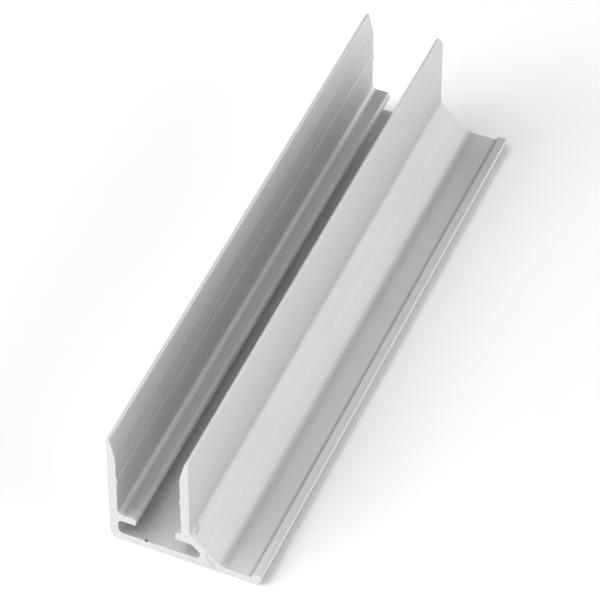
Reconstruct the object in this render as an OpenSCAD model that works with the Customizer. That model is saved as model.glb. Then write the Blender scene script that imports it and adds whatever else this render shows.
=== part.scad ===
// Aluminium panel-channel trim extrusion, one cut length of plain mill-finish stock.
// The section is constant along Y: a channel of two thin walls for a 10 mm panel, two lips
// at its foot over an undercut slot, and a sloping web down to a flat flange with a bead.
// The front end is cut square. The back end is cut slightly out of square, and the top
// corner of the inner wall is knocked off there.
// Origin: middle of the footprint, on the underside. X across the section (the tall outer
// wall is on -X, the beaded flange on +X), Y along the length, Z up. Millimetres.

/* [Stock] */
// Cut length along the bead, the longest edge
length = 101.3; // [30:0.1:300]
// Width over everything, outer wall face to bead face
width = 25; // [23:0.1:40]
// Height over everything, underside to wall tips
height = 22.4; // [18.5:0.1:36]

/* [Base and flange] */
// Thickness of the base under the slot
base_t = 1.55; // [1.2:0.05:2]
// Thickness of the free flange
flange_t = 1.4; // [1.2:0.05:1.9]
// Width of the bead along the flange edge
bead_w = 1.7; // [1.2:0.05:2.2]
// Height of the bead above the underside
bead_h = 2.15; // [2.1:0.05:2.6]

/* [Channel walls] */
// Clear width between the two walls
channel_w = 10.5; // [8:0.1:12.5]
// Thickness of the outer wall
outer_wall_t = 1.35; // [1:0.05:1.6]
// Thickness of the inner wall
inner_wall_t = 1.45; // [1.2:0.05:1.8]
// Thickness left at the wall tips
tip_t = 0.55; // [0.45:0.05:0.9]
// Height of the lead-in taper below the wall tips
taper_h = 3.9; // [2:0.1:4.8]
// Height of the grip ridges' middle above the underside
grip_z = 13.3; // [9.5:0.1:13.5]
// Height of one grip ridge up the wall
grip_w = 1.8; // [1:0.1:2]
// How far a grip ridge stands off the wall
grip_out = 0.2; // [0.1:0.05:0.35]

/* [Lips and slot] */
// Clear height of the undercut slot
slot_h = 2.8; // [2.3:0.1:3.4]
// Thickness of the long lip
lip_t = 1.5; // [1.2:0.05:1.8]
// Reach of the long lip from the outer wall
long_lip = 3; // [2:0.05:4]
// Reach of the short lip from the inner wall
short_lip = 1; // [0.7:0.05:1.6]
// Thickness of the short lip at its end
short_lip_t = 1.3; // [0.9:0.05:1.6]
// Rise of the short lip's top from its end to the wall
short_lip_rise = 0.55; // [0.2:0.05:0.8]
// Distance the slot runs on past the inner wall's outside face
slot_past = 1.55; // [1.3:0.05:1.8]
// Distance the level slot roof runs past the inner wall before the web slopes down
roof_past = 0.2; // [0:0.05:0.4]

/* [Web] */
// Thickness of the sloping web
web_t = 1.5; // [1.2:0.05:1.8]
// Slope of the web from level
web_angle = 45; // [42:1:50]

/* [Corner radii] */
// Outside bottom corner under the outer wall
heel_r = 1.6; // [0.4:0.05:1.8]
// Outside bottom corner under the bead
toe_r = 1.75; // [0.4:0.05:1.8]
// Outer top corner of the bead
bead_r = 0.3; // [0.1:0.05:0.3]
// Inner top corner of the bead
shoulder_r = 0.6; // [0.1:0.05:0.7]
// Edges of the wall tips
tip_r = 0.22; // [0.05:0.01:0.24]
// Hollow between the outer wall and the long lip
foot_r = 0.9; // [0.4:0.05:1.2]
// Bottom corners of the slot
slot_r = 1; // [0.4:0.05:1.2]
// Top corner of the slot under the long lip
roof_r = 0.7; // [0.3:0.05:0.9]
// Turn of the slot's roof down under the web
vault_r = 1.3; // [0.3:0.1:2]
// Top corner at the slot's far end
nook_r = 0.5; // [0.1:0.05:0.6]
// Top edge of the long lip
lip_r = 0.5; // [0.2:0.05:0.7]
// Edges of the short lip, and the lower edge of the long one
edge_r = 0.2; // [0.1:0.05:0.35]
// Hollow between the inner wall and the web
hip_r = 1.4; // [0.3:0.05:2]
// Hollow between the web and the flange
sole_r = 3; // [0.5:0.1:3.5]

/* [Cut ends] */
// Angle by which the back cut is out of square
skew = 3; // [0:0.5:5]
// Length of the corner knocked off the inner wall's tip at the back end
knock_l = 1.6; // [0.5:0.1:4]
// Height of the corner knocked off the inner wall's tip at the back end
knock_h = 2.4; // [0.5:0.1:4]

/* [Hidden] */
$fn = 96;
over = 1;                                  // how far cutters run past the section
lap = 1.02;                                // round pieces reach this much past the corner
bite = 1.0005;                             // their circles cut this much past the two sides

outer_x = outer_wall_t;                    // channel face of the outer wall
inner_x = outer_wall_t + channel_w;        // channel face of the inner wall
back_x = inner_x + inner_wall_t;           // outside face of the inner wall
slot_x = back_x + slot_past;               // far end of the slot
slot_top = base_t + slot_h;                // underside of the lips
lip_top = slot_top + lip_t;                // top of the long lip
taper_z = height - taper_h;                // where the lead-in tapers start
bead_x = width - bead_w;                   // inner side of the bead
shoulder = min(shoulder_r, bead_h - flange_t);     // no taller than the bead stands

slope = tan(web_angle);
web_drop = web_t / cos(web_angle);         // web thickness measured straight down
roof_x = back_x + roof_past;               // where the level slot roof ends
hip_z = slot_top + web_drop + roof_past * slope;   // web top at the inner wall
sole_x = back_x + (hip_z - flange_t) / slope;      // web top at the flange
slot_end_z = slot_top - (slot_x - roof_x) * slope; // web underside at the slot's far end
nook_room = slot_end_z - base_t - slot_r;          // wall left for the round over the slot's corner
nook = min(nook_r, max(0.05, 0.9 * nook_room / tan(web_angle / 2)));
short_lip_a = atan(short_lip_rise / short_lip);    // slope of the short lip's top

// Point at distance d from p in direction a.
function go(p, a, d) = p + d * [cos(a), sin(a)];

// The piece between a corner and a round of radius r. The two sides leave the corner in
// directions a1 and a2, a2 the further round anticlockwise by less than a half turn.
// Added to a hollow corner it fills it, taken from a proud corner it rounds it. It laps
// over the two sides a little, so that no sliver is left along them, and its circle cuts a
// hair past them, so that the round crosses them at one clear point.
module round_piece(corner, a1, a2, r) {
    half = (a2 - a1) / 2;
    centre = go(corner, a1 + half, r / sin(half));
    wedge = [corner, go(corner, a1, r / tan(half)), centre, go(corner, a2, r / tan(half))];
    difference() {
        polygon([for (p = wedge) centre + lap * (p - centre)]);
        translate(centre) circle(r = r * bite);
    }
}

// Outside shape, the channel still filled in.
module envelope() {
    difference() {
        union() {
            polygon([
                [0, 0], [width, 0], [width, bead_h], [bead_x, bead_h], [bead_x, flange_t],
                [sole_x, flange_t], [back_x, hip_z], [back_x, height], [0, height]
            ]);
            round_piece([back_x, hip_z], -web_angle, 90, hip_r);
            round_piece([sole_x, flange_t], 0, 180 - web_angle, sole_r);
        }
        round_piece([0, 0], 0, 90, heel_r);
        round_piece([width, 0], 90, 180, toe_r);
        round_piece([width, bead_h], 180, 270, bead_r);
        round_piece([bead_x, bead_h], 270, 360, shoulder);
        round_piece([0, height], 270, 360, tip_r);
        round_piece([back_x, height], 180, 270, tip_r);
    }
}

// Panel channel between the walls, flared towards the tips.
module channel() {
    difference() {
        polygon([
            [outer_x, lip_top], [inner_x, lip_top], [inner_x, taper_z],
            [back_x - tip_t, height], [back_x - tip_t, height + over],
            [tip_t, height + over], [tip_t, height], [outer_x, taper_z]
        ]);
        round_piece([outer_x, lip_top], 0, 90, foot_r);
        short_lip();
        grip_ridge(outer_x, 1);
        grip_ridge(inner_x, -1);
    }
    round_piece([tip_t, height], 180, 360 - atan(taper_h / (outer_wall_t - tip_t)), tip_r);
    round_piece([back_x - tip_t, height], 180 + atan(taper_h / (inner_wall_t - tip_t)), 360, tip_r);
}

// Lip at the foot of the inner wall, its top sloping up to the wall.
module short_lip() {
    end_x = inner_x - short_lip;
    end_z = slot_top + short_lip_t;
    wall_z = end_z + short_lip_rise;
    difference() {
        union() {
            polygon([
                [end_x, slot_top], [inner_x + over / 2, slot_top],
                [inner_x + over / 2, wall_z], [inner_x, wall_z], [end_x, end_z]
            ]);
            round_piece([inner_x, wall_z], 90, 180 + short_lip_a, edge_r);
        }
        round_piece([end_x, end_z], 270, 360 + short_lip_a, edge_r);
        round_piece([end_x, slot_top], 0, 90, edge_r);
    }
}

// Low round ridge on a wall face at x, standing off to the side given.
module grip_ridge(x, side) {
    r = (pow(grip_w / 2, 2) + pow(grip_out, 2)) / (2 * grip_out);
    intersection() {
        translate([x + side * (grip_out - r), grip_z]) circle(r = r);
        translate([x - tip_t / 2, grip_z - grip_w]) square([tip_t, 2 * grip_w]);
    }
}

// Gap between the ends of the two lips.
module lip_gap() {
    end_x = outer_x + long_lip;
    difference() {
        translate([end_x, slot_top - over])
            square([inner_x - end_x, lip_top - slot_top + over]);
        short_lip();
    }
    round_piece([end_x, lip_top], 180, 270, lip_r);
    round_piece([end_x, slot_top], 90, 180, edge_r);
}

// Undercut slot below the lips.
module slot() {
    difference() {
        polygon([
            [outer_x, base_t], [slot_x, base_t], [slot_x, slot_end_z],
            [roof_x, slot_top], [outer_x, slot_top]
        ]);
        round_piece([outer_x, base_t], 0, 90, slot_r);
        round_piece([slot_x, base_t], 90, 180, slot_r);
        round_piece([slot_x, slot_end_z], 180 - web_angle, 270, nook);
        round_piece([roof_x, slot_top], 180, 360 - web_angle, vault_r);
        round_piece([outer_x, slot_top], 270, 360, roof_r);
    }
}

module section() {
    difference() {
        envelope();
        channel();
        lip_gap();
        slot();
    }
}

// Everything behind the back cut, which turns about its end on the bead side.
module behind_back_cut() {
    translate([width / 2, length / 2, -over]) rotate([0, 0, skew])
        translate([-2 * width, 0, 0]) cube([3 * width, length, height + 2 * over]);
}

// Corner knocked off the inner wall's tip at the back end.
module knocked_corner() {
    cut_y = length / 2 - (width - back_x) * tan(skew);
    translate([inner_x - width / 2 - over, 0, 0]) rotate([90, 0, 90])
        linear_extrude(height = inner_wall_t + 2 * over)
        polygon([
            [cut_y - knock_l, height], [cut_y + knock_l, height - 2 * knock_h],
            [cut_y + knock_l, height + over], [cut_y - knock_l, height + over]
        ]);
}

module profile() {
    color([0.79, 0.80, 0.81])
    difference() {
        rotate([90, 0, 0]) linear_extrude(height = length, center = true)
            translate([-width / 2, 0]) section();
        behind_back_cut();
        knocked_corner();
    }
}

profile();
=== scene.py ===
"""Looks of the aluminium trim extrusion: one cut length of mill-finish stock on a pale floor.

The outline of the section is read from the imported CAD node, its corners are eased to the small
radii that a die leaves, and it is drawn out again as a finer mesh with sawn, lightly deburred
ends. Lengths in this file are metres, unless a name ends in _mm.
"""
import math

import bpy
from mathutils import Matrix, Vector, noise


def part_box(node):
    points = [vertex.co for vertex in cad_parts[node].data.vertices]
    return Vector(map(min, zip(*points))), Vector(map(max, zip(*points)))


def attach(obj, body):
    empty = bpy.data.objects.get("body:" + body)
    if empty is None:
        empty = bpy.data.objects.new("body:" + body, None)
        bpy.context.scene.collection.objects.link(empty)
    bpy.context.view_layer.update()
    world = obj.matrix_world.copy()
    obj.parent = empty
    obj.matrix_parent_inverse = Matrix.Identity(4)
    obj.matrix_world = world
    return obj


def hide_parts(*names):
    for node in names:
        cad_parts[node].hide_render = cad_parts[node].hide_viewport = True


MM = 0.001
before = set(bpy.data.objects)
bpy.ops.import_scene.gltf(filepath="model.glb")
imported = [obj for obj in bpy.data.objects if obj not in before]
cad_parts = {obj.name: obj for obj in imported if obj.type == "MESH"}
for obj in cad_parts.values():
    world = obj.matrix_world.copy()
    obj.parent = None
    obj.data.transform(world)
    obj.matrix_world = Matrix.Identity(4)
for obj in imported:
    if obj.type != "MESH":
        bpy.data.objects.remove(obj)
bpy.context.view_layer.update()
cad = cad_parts["profile"]
low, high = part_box("profile")
middle = (low + high) / 2

# Die and saw
CORNER_R = 0.09 * MM      # radius a die leaves on a corner drawn sharp
CORNER_STEPS = 4          # straight runs in one eased corner
SHARP_TURN = 9.5          # degrees; a larger turn in the outline is a corner drawn sharp
OUTLINE_STEP = 0.7 * MM   # longest straight run left in the outline
RING_STEP = 1.0 * MM      # spacing of the rings along the length
END_STEPS = (0.03, 0.09, 0.17, 0.27, 0.38, 0.5, 0.7)    # mm behind a cut end, for extra rings
SAW_EDGE = 0.07 * MM      # width of the broken edge round a cut end
WAVE = 0.002 * MM         # how far the drawn faces wander from flat

# Marks, measured from the outer wall's face (x), the front end (y) and the underside (z)
NICK = low + Vector((5.95, 0.2, 1.55)) * MM       # nick in the front edge of the base
NICK_WIDE, NICK_LONG, NICK_DEEP = 0.17 * MM, 0.34 * MM, 0.3 * MM
SCUFF = [low + Vector(p) * MM for p in ((13.3, 2.5, 6.85), (13.84, 2.0, 6.15), (13.9, 1.0, 6.1))]
SCRATCHES = [
    [low + Vector(p) * MM for p in ((15.9, 0, 3.35), (16.36, 0, 1.97), (16.95, 0, 0.45))],
    [low + Vector(p) * MM for p in ((16.95, 0, 2.1), (17.4, 0, 0.9))],
]
PITS = [low + Vector(p) * MM for p in ((1.35, 4.9, 16.9), (0.65, 30.6, 22.0), (1.35, 28.7, 12.3))]

# Tone added along the stock, fitted to the photo's greys: x and z, reach, softness, tone.
# These are corrections for this light, not marks or finish seen on the metal.
PAINTED_LIGHT_LINES = [
    ((1.72, 6.05), 0.2, 0.45, 0.2),       # hollow over the long lip
    ((1.48, 13.8), 0.12, 0.4, 0.12),      # grip ridge
    ((4.24, 5.5), 0.1, 0.35, 0.13),       # edge of the long lip
    ((0.45, 22.35), 0.15, 0.25, 0.05),    # outer wall's tip
    ((13.05, 22.35), 0.15, 0.25, 0.05),   # inner wall's tip
    ((0.9, 20.5), 1.2, 1.5, 0.04),        # outer wall, taper
    ((1.35, 16.4), 1.2, 1.2, 0.06),       # outer wall, above the grip ridge
    ((1.35, 11.8), 0.3, 1.5, 0.04),       # outer wall, below the grip ridge
    ((13.3, 8), 0.6, 1.8, -0.04),         # inner wall, above the web
    ((21.4, 1.4), 1.2, 0.8, 0.03),        # flange
    ((23.2, 1.7), 0.12, 0.4, -0.4),       # dark line on the inner side of the bead
]
# painted shade: the outside of the outer wall is drawn darker so that it does not burn out in the side
# light
OUTSIDE_PAINTED_SHADE = -0.25      # outside of the outer wall, not in the photo, kept from burning out


# ---------------------------------------------------------------- section outline

def front_loop(node):
    """The section's outline as (x, z) points in order, from the front face of a CAD node."""
    mesh = node.data
    at = {v.index: (round(v.co.x, 8), round(v.co.z, 8)) for v in mesh.vertices}
    uses = {}
    for face in mesh.polygons:
        if all(mesh.vertices[i].co.y < low.y + 1e-7 for i in face.vertices):
            ring = [at[i] for i in face.vertices]
            for a, b in zip(ring, ring[1:] + ring[:1]):
                uses[(a, b)] = uses.get((a, b), 0) + 1
    follow = {a: b for a, b in uses if (b, a) not in uses}
    loop = [next(iter(follow))]
    while follow[loop[-1]] != loop[0]:
        loop.append(follow[loop[-1]])
    return [Vector(p) for p in loop]


def turn(a, b, c):
    """Degrees that the outline turns at b."""
    return abs(math.degrees((b - a).angle_signed(c - b)))


def eased(loop):
    """The outline with each sharp corner drawn as a small arc."""
    out = []
    for a, b, c in zip(loop[-1:] + loop[:-1], loop, loop[1:] + loop[:1]):
        angle = math.radians(turn(a, b, c))
        if math.degrees(angle) < SHARP_TURN:
            out.append(b)
            continue
        room = 0.45 * min((b - a).length, (c - b).length)
        reach = min(CORNER_R * math.tan(angle / 2), room)
        start, end = b + (a - b).normalized() * reach, b + (c - b).normalized() * reach
        for k in range(CORNER_STEPS + 1):
            t = k / CORNER_STEPS
            out.append((1 - t) ** 2 * start + 2 * t * (1 - t) * b + t ** 2 * end)
    return out


def divided(loop, step, near=None, reach=0.0):
    """The outline with its long straight runs divided, or only those close to one point."""
    out = []
    for a, b in zip(loop, loop[1:] + loop[:1]):
        parts = max(1, math.ceil((b - a).length / step))
        if near is not None and ((a + b) / 2 - near).length > reach:
            parts = 1
        out += [a.lerp(b, k / parts) for k in range(parts)]
    return out


def outward(loop):
    """Unit normals of the outline, pointing out of the metal."""
    area = sum(a.x * b.y - b.x * a.y for a, b in zip(loop, loop[1:] + loop[:1]))
    side = 1 if area > 0 else -1
    normals = []
    for a, b, c in zip(loop[-1:] + loop[:-1], loop, loop[1:] + loop[:1]):
        along = (b - a).normalized() + (c - b).normalized()
        normals.append(Vector((along.y, -along.x)).normalized() * side)
    return normals


# ---------------------------------------------------------------- the drawn length

def back_end(point, normal):
    """Where the back cut lies behind a point of the outline."""
    inside = point - normal * 0.02 * MM
    hit, where, _, _ = cad.ray_cast(Vector((inside.x, middle.y, inside.y)), Vector((0, 1, 0)))
    return where.y if hit else high.y


def wander(point, y):
    """Small smooth error of the drawn face, out of true along its normal."""
    spot = Vector((point.x, point.y, 0)) / (7 * MM)
    return WAVE * noise.noise(spot + Vector((0, 0, y / (90 * MM))))


def nick(point, y):
    """How far a point of the base's top edge is pushed down by the nick, or up by its burr."""
    if abs(point.y - NICK.z) > 0.02 * MM or abs(point.x - NICK.x) > 1 * MM:
        return 0.0
    across, along = (point.x - NICK.x) / NICK_WIDE, (y - low.y) / NICK_LONG
    pit = math.exp(-across ** 2 - along ** 2)
    burr = math.exp(-(abs(across) - 1.9) ** 2 * 3 - (along - 0.4) ** 2 * 1.5)
    return NICK_DEEP * pit - 0.07 * MM * burr


def saw_break(point, y):
    """Uneven width of the edge that the saw and the file left."""
    spot = Vector((point.x, y * 3, point.y)) / (0.55 * MM)
    return SAW_EDGE * (0.75 + 0.6 * noise.noise(spot))


def profile_mesh():
    loop = divided(eased(front_loop(cad)), OUTLINE_STEP)
    loop = divided(loop, 0.07 * MM, near=Vector((NICK.x, NICK.z)), reach=0.9 * MM)
    normals = outward(loop)
    backs = [back_end(p, n) for p, n in zip(loop, normals)]
    count = math.ceil((high.y - low.y) / RING_STEP)
    ends = [mm * MM / (high.y - low.y) for mm in END_STEPS]
    stations = sorted(ends + [k / count for k in range(1, count)] + [1 - e for e in ends])

    verts, faces = [], []
    size = len(loop)

    def ring(place):
        verts.extend(place(p, n, b) for p, n, b in zip(loop, normals, backs))

    # Rings at the part t of the way from the front end to the back one
    def inset(t):
        def place(p, n, back):
            y = low.y + t * (back - low.y)
            q = p - n * (saw_break(p, y) + nick(p, y))
            return (q.x, y, q.y)
        return place

    def full(t):
        def place(p, n, back):
            y = low.y + t * (back - low.y)
            q = p + n * (wander(p, y) - nick(p, y))
            return (q.x, y, q.y)
        return place

    ring(inset(0))
    for t in stations:
        ring(full(t))
    ring(inset(1))
    rings = len(stations) + 2

    for r in range(rings - 1):
        for k in range(size):
            a, b = r * size + k, r * size + (k + 1) % size
            faces.append((a, b, b + size, a + size))
    caps = [tuple(range(size)), tuple(range((rings - 1) * size, rings * size))[::-1]]

    mesh = bpy.data.meshes.new("profile_drawn")
    mesh.from_pydata(verts, [], faces + caps)
    mesh.update()
    return mesh, len(faces)


# ---------------------------------------------------------------- materials

class Nodes:
    """Short hand for building one material's nodes."""

    def __init__(self, name):
        self.material = bpy.data.materials.new(name)
        self.material.use_nodes = True
        self.tree = self.material.node_tree
        self.tree.nodes.clear()
        self.out = self.add("ShaderNodeOutputMaterial")
        self.shader = self.add("ShaderNodeBsdfPrincipled")
        self.link(self.shader.outputs["BSDF"], self.out.inputs["Surface"])

    def add(self, kind, **settings):
        node = self.tree.nodes.new(kind)
        for name, value in settings.items():
            setattr(node, name, value)
        return node

    def link(self, a, b):
        self.tree.links.new(a, b)

    def place(self, scale):
        """Object coordinates, scaled."""
        coords = self.add("ShaderNodeTexCoord")
        mapping = self.add("ShaderNodeMapping")
        mapping.inputs["Scale"].default_value = scale
        self.link(coords.outputs["Object"], mapping.inputs["Vector"])
        return mapping.outputs["Vector"]

    def noise(self, scale, detail=2.0, rough=0.5):
        """Noise on object coordinates; scale is per metre along X, Y and Z."""
        node = self.add("ShaderNodeTexNoise")
        node.inputs["Scale"].default_value = 1.0
        node.inputs["Detail"].default_value = detail
        node.inputs["Roughness"].default_value = rough
        self.link(self.place(scale), node.inputs["Vector"])
        return node.outputs["Fac"]

    def ramp(self, value, low_in, high_in, low_out, high_out):
        node = self.add("ShaderNodeMapRange", clamp=True)
        for name, number in (("From Min", low_in), ("From Max", high_in),
                             ("To Min", low_out), ("To Max", high_out)):
            node.inputs[name].default_value = number
        self.link(value, node.inputs["Value"])
        return node.outputs["Result"]

    def math(self, kind, a, b):
        node = self.add("ShaderNodeMath", operation=kind)
        for socket, value in zip(node.inputs, (a, b)):
            if isinstance(value, (int, float)):
                socket.default_value = value
            else:
                self.link(value, socket)
        return node.outputs["Value"]

    def vector(self, kind, a, b=None, scale=None, value=False):
        """Vector math; a and b are sockets or fixed vectors."""
        node = self.add("ShaderNodeVectorMath", operation=kind)
        for socket, item in zip(node.inputs, (a, b)):
            if isinstance(item, Vector):
                socket.default_value = item
            elif item is not None:
                self.link(item, socket)
        if scale is not None:
            self.link(scale, node.inputs["Scale"])
        return node.outputs["Value" if value else "Vector"]

    def near_line(self, points, reach, soft, rag=0.0):
        """1 on a line through the points, 0 away from it."""
        here = self.place((1, 1, 1))
        if rag:
            rough = self.add("ShaderNodeTexNoise")
            rough.inputs["Scale"].default_value = 1.0
            self.link(self.place((3000, 3000, 3000)), rough.inputs["Vector"])
            shift = self.vector("SUBTRACT", rough.outputs["Color"], Vector((0.5, 0.5, 0.5)))
            size = self.add("ShaderNodeValue")
            size.outputs[0].default_value = rag
            here = self.vector("ADD", here, self.vector("SCALE", shift, scale=size.outputs[0]))
        mask = None
        for a, b in zip(points, points[1:] or points[:1]):
            along = b - a
            spot = self.vector("SUBTRACT", here, a)
            if along.length > 0:
                part = self.vector("DOT_PRODUCT", spot, along / along.length_squared, value=True)
                part = self.ramp(part, 0, 1, 0, 1)
                spot = self.vector("SUBTRACT", spot, self.vector("SCALE", along, scale=part))
            gap = self.vector("LENGTH", spot, value=True)
            one = self.ramp(gap, reach, reach + soft, 1, 0)
            mask = one if mask is None else self.math("MAXIMUM", mask, one)
        return mask

    def grey(self, value):
        node = self.add("ShaderNodeCombineColor")
        for name in ("Red", "Green", "Blue"):
            self.link(value, node.inputs[name])
        return node.outputs["Color"]

    def bump(self, height, distance, strength=1.0, under=None):
        node = self.add("ShaderNodeBump")
        node.inputs["Strength"].default_value = strength
        node.inputs["Distance"].default_value = distance
        self.link(height, node.inputs["Height"])
        if under is not None:
            self.link(under, node.inputs["Normal"])
        return node.outputs["Normal"]


def drawn_metal():
    """Mill finish: matt satin, with faint die lines that run the whole length, and lines of painted
    highlight and painted shade along the stock.
    """
    m = Nodes("mill_aluminium")
    lines = m.noise((4200, 6, 4200), detail=3, rough=0.55)
    broad = m.noise((620, 1.2, 620), detail=2, rough=0.5)
    grain = m.noise((2600, 1500, 2600), detail=3, rough=0.6)
    bloom = m.noise((190, 45, 190), detail=3, rough=0.5)
    tone = m.math("ADD", m.ramp(lines, 0.3, 0.7, -0.012, 0.012), m.ramp(broad, 0.3, 0.7, 0.75, 0.77))
    tone = m.math("ADD", tone, m.ramp(grain, 0.3, 0.7, -0.008, 0.008))
    # painted highlights and painted shade along the stock, added to the metal's grey
    for (x, z), reach, soft, lift in PAINTED_LIGHT_LINES:
        start = low + Vector((x, 0, z)) * MM
        line = m.near_line([start, start + Vector((0, high.y - low.y, 0))], reach * MM, soft * MM)
        tone = m.math("ADD", tone, m.math("MULTIPLY", line, lift))
    # painted shade on the outside of the outer wall, fading in over its first 0.15 mm
    across = m.add("ShaderNodeSeparateXYZ")
    m.link(m.place((1, 1, 1)), across.inputs["Vector"])
    outside = m.ramp(across.outputs["X"], low.x + 0.03 * MM, low.x + 0.15 * MM, OUTSIDE_PAINTED_SHADE, 0)
    tone = m.math("ADD", tone, outside)

    scuff = m.near_line(SCUFF, 0.05 * MM, 0.22 * MM, rag=0.25 * MM)
    # the metal is drawn darker inside the nick and, more faintly, at the pits
    darker_spots = m.near_line([NICK], 0.12 * MM, 0.22 * MM)
    for pit in PITS:
        darker_spots = m.math("MAXIMUM", darker_spots, m.math("MULTIPLY", m.near_line([pit], 0.05 * MM, 0.2 * MM), 0.35))
    tone = m.math("SUBTRACT", tone, m.math("MULTIPLY", scuff, 0.2))
    tone = m.math("MAXIMUM", m.math("SUBTRACT", tone, m.math("MULTIPLY", darker_spots, 0.75)), 0.05)
    m.link(m.grey(tone), m.shader.inputs["Base Color"])
    m.link(m.ramp(bloom, 0.3, 0.7, 0.60, 0.64), m.shader.inputs["Roughness"])
    m.shader.inputs["Metallic"].default_value = 1.0
    normal = m.bump(lines, 0.002 * MM)
    normal = m.bump(broad, 0.004 * MM, under=normal)
    normal = m.bump(grain, 0.002 * MM, under=normal)
    m.link(m.bump(scuff, -0.03 * MM, under=normal), m.shader.inputs["Normal"])
    return m.material


def sawn_metal():
    """Sawn end: brighter, mottled, with the saw's faint parallel scratches."""
    m = Nodes("sawn_aluminium")
    marks = m.noise((1500, 400, 7000), detail=3, rough=0.6)
    mottle = m.noise((1400, 1400, 1400), detail=3, rough=0.65)
    tone = m.math("ADD", m.ramp(marks, 0.3, 0.7, -0.015, 0.015), m.ramp(mottle, 0.3, 0.7, 0.76, 0.83))
    scratch = None
    for line in SCRATCHES:
        one = m.near_line(line, 0.03 * MM, 0.13 * MM, rag=0.12 * MM)
        scratch = one if scratch is None else m.math("MAXIMUM", scratch, one)
    # the cut end is drawn darker round the nick
    darker_spots = m.near_line([NICK], 0.12 * MM, 0.22 * MM)
    tone = m.math("SUBTRACT", tone, m.math("MULTIPLY", scratch, 0.22))
    tone = m.math("MAXIMUM", m.math("SUBTRACT", tone, m.math("MULTIPLY", darker_spots, 0.75)), 0.05)
    m.link(m.grey(tone), m.shader.inputs["Base Color"])
    m.shader.inputs["Roughness"].default_value = 0.5
    m.shader.inputs["Metallic"].default_value = 1.0
    normal = m.bump(marks, 0.004 * MM)
    m.link(m.bump(scratch, -0.03 * MM, under=normal), m.shader.inputs["Normal"])
    return m.material


def profile():
    mesh, sides = profile_mesh()
    mesh.materials.append(drawn_metal())
    mesh.materials.append(sawn_metal())
    for index, face in enumerate(mesh.polygons):
        face.use_smooth = index < sides
        face.material_index = 0 if index < sides else 1
    mesh.set_sharp_from_angle(angle=math.radians(35))
    piece = bpy.data.objects.new("profile_drawn", mesh)
    bpy.context.scene.collection.objects.link(piece)
    even = piece.modifiers.new("even_normals", "WEIGHTED_NORMAL")
    even.keep_sharp = True
    even.weight = 100
    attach(piece, "root")
    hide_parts("profile")
    return piece


# ---------------------------------------------------------------- studio

def floor():
    bpy.ops.mesh.primitive_plane_add(size=6, location=(middle.x, middle.y, low.z))
    plane = bpy.context.object
    plane.name = "floor"
    m = Nodes("pale_floor")
    m.shader.inputs["Base Color"].default_value = (0.94, 0.94, 0.94, 1)
    m.shader.inputs["Roughness"].default_value = 0.9
    plane.data.materials.append(m.material)


def softbox(name, azimuth, elevation, distance, size, watts):
    """A square area light aimed at the object. Azimuth 0 is in front, 90 on its +X side."""
    a, e = math.radians(azimuth), math.radians(elevation)
    back = Vector((math.sin(a) * math.cos(e), -math.cos(a) * math.cos(e), math.sin(e)))
    light = bpy.data.lights.new(name, "AREA")
    light.size = size
    light.energy = watts
    lamp = bpy.data.objects.new(name, light)
    lamp.location = middle + back * distance
    lamp.rotation_mode = "QUATERNION"
    lamp.rotation_quaternion = (-back).to_track_quat("-Z", "Y")
    bpy.context.scene.collection.objects.link(lamp)


# Azimuth, elevation and watts of the softboxes, fitted to the photo's greys in its own view
LIGHTS = (
    (90, 20, 5.4), (135, 20, 3.1), (315, 20, 8.4), (225, 55, 1.5), (270, 55, 4.0),
    (315, 55, 5.9), (0, 90, 2.9),
)


def studio():
    world = bpy.data.worlds.new("studio")
    world.use_nodes = True
    world.node_tree.nodes["Background"].inputs["Color"].default_value = (1, 1, 1, 1)
    world.node_tree.nodes["Background"].inputs["Strength"].default_value = 0.0
    bpy.context.scene.world = world
    bpy.context.scene.view_settings.view_transform = "Standard"
    for azimuth, elevation, watts in LIGHTS:
        softbox(f"softbox_{azimuth}_{elevation}", azimuth, elevation, 1.2, 0.8, watts)


def camera():
    """Long lens from the front right, well above the piece."""
    azimuth, elevation, distance = 23.28, 47.16, 0.6363
    aim = middle + Vector((-0.0013, -0.004, 0))
    a, e = math.radians(azimuth), math.radians(elevation)
    back = Vector((math.sin(a) * math.cos(e), -math.cos(a) * math.cos(e), math.sin(e)))
    data = bpy.data.cameras.new("camera")
    data.lens = 244.37
    data.clip_start, data.clip_end = 0.01, 20
    eye = bpy.data.objects.new("camera", data)
    eye.location = aim + back * distance
    eye.rotation_mode = "QUATERNION"
    eye.rotation_quaternion = (-back).to_track_quat("-Z", "Y")
    bpy.context.scene.collection.objects.link(eye)
    bpy.context.scene.camera = eye


profile()
floor()
studio()
camera()
